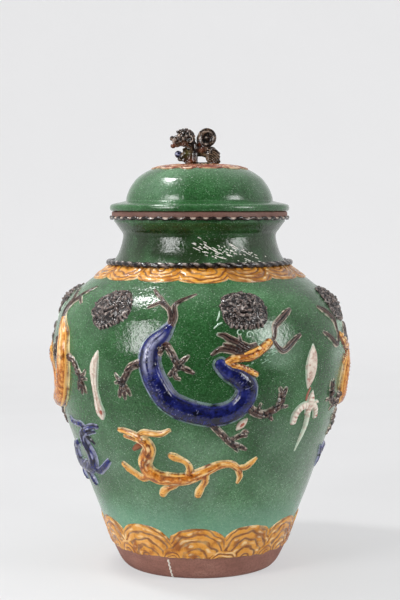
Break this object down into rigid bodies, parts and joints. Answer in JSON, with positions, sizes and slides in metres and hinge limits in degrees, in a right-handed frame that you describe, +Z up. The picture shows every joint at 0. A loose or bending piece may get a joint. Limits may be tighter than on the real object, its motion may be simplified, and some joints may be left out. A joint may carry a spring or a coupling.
{
  "type": "lidded jar",
  "caption": "Green-glazed broad-shouldered storage jar with applied dragons and lion masks, crimped rim, and a domed lift-off lid with a lion knob.",
  "frame": {"origin": "middle of the jar's flat foot, on the surface that it stands on", "axes": "+Z up along the jar's axis, -Y towards the side with the dragon that faces right, so the lion knob looks along -X"},
  "size_m": [0.4021, 0.4008, 0.5801],
  "materials": {
    "green_glaze": "glossy copper green glaze",
    "amber_glaze": "glossy amber glaze",
    "blue_glaze": "glossy cobalt blue glaze",
    "aubergine_glaze": "glossy dark brown glaze",
    "white_glaze": "glossy cream white glaze"
  },
  "bodies": {
    "jar": {"cloud_sprig_1": "white_glaze", "cloud_sprig_2": "white_glaze", "dragon_1_front_leg": "aubergine_glaze", "dragon_1_head": "amber_glaze", "dragon_1_inner_rear_leg": "aubergine_glaze", "dragon_1_lower_leg": "aubergine_glaze", "dragon_1_outer_rear_leg": "aubergine_glaze", "dragon_1_tail_plume": "aubergine_glaze", "dragon_1_trunk": "blue_glaze", "dragon_2_front_leg": "aubergine_glaze", "dragon_2_head": "amber_glaze", "dragon_2_inner_rear_leg": "aubergine_glaze", "dragon_2_lower_leg": "aubergine_glaze", "dragon_2_outer_rear_leg": "aubergine_glaze", "dragon_2_tail_plume": "aubergine_glaze", "dragon_2_trunk": "amber_glaze", "dragon_3_front_leg": "aubergine_glaze", "dragon_3_head": "amber_glaze", "dragon_3_inner_rear_leg": "aubergine_glaze", "dragon_3_lower_leg": "aubergine_glaze", "dragon_3_outer_rear_leg": "aubergine_glaze", "dragon_3_tail_plume": "aubergine_glaze", "dragon_3_trunk": "blue_glaze", "dragon_4_front_leg": "aubergine_glaze", "dragon_4_head": "amber_glaze", "dragon_4_inner_rear_leg": "aubergine_glaze", "dragon_4_lower_leg": "aubergine_glaze", "dragon_4_outer_rear_leg": "aubergine_glaze", "dragon_4_tail_plume": "aubergine_glaze", "dragon_4_trunk": "amber_glaze", "flame_bud": "white_glaze", "flame_sprig_1": "white_glaze", "flame_sprig_2": "white_glaze", "foot_wave_band": "amber_glaze", "jar_body": "green_glaze", "leaf_sprig_1": "white_glaze", "leaf_sprig_2": "white_glaze", "lion_mask_1": "aubergine_glaze", "lion_mask_2": "aubergine_glaze", "lion_mask_3": "aubergine_glaze", "lion_mask_4": "aubergine_glaze", "lion_mask_5": "aubergine_glaze", "lion_mask_6": "aubergine_glaze", "neck_rope": "aubergine_glaze", "rim_frill": "aubergine_glaze", "shoulder_scale_band": "amber_glaze", "small_dragon_1": "amber_glaze", "small_dragon_2": "blue_glaze", "small_dragon_3": "amber_glaze", "small_dragon_4": "blue_glaze"},
    "lid": {"lid_scale_band": "amber_glaze", "lid_shell": "green_glaze", "lion_ball": "blue_glaze", "lion_body": "aubergine_glaze", "lion_head": "aubergine_glaze", "lion_tail": "aubergine_glaze"}
  },
  "joints": [
    {"name": "lid_lift", "type": "slide", "parent": "jar", "child": "lid", "axis": [0, 0, 1], "range_m": [0, 0.15]}
  ]
}
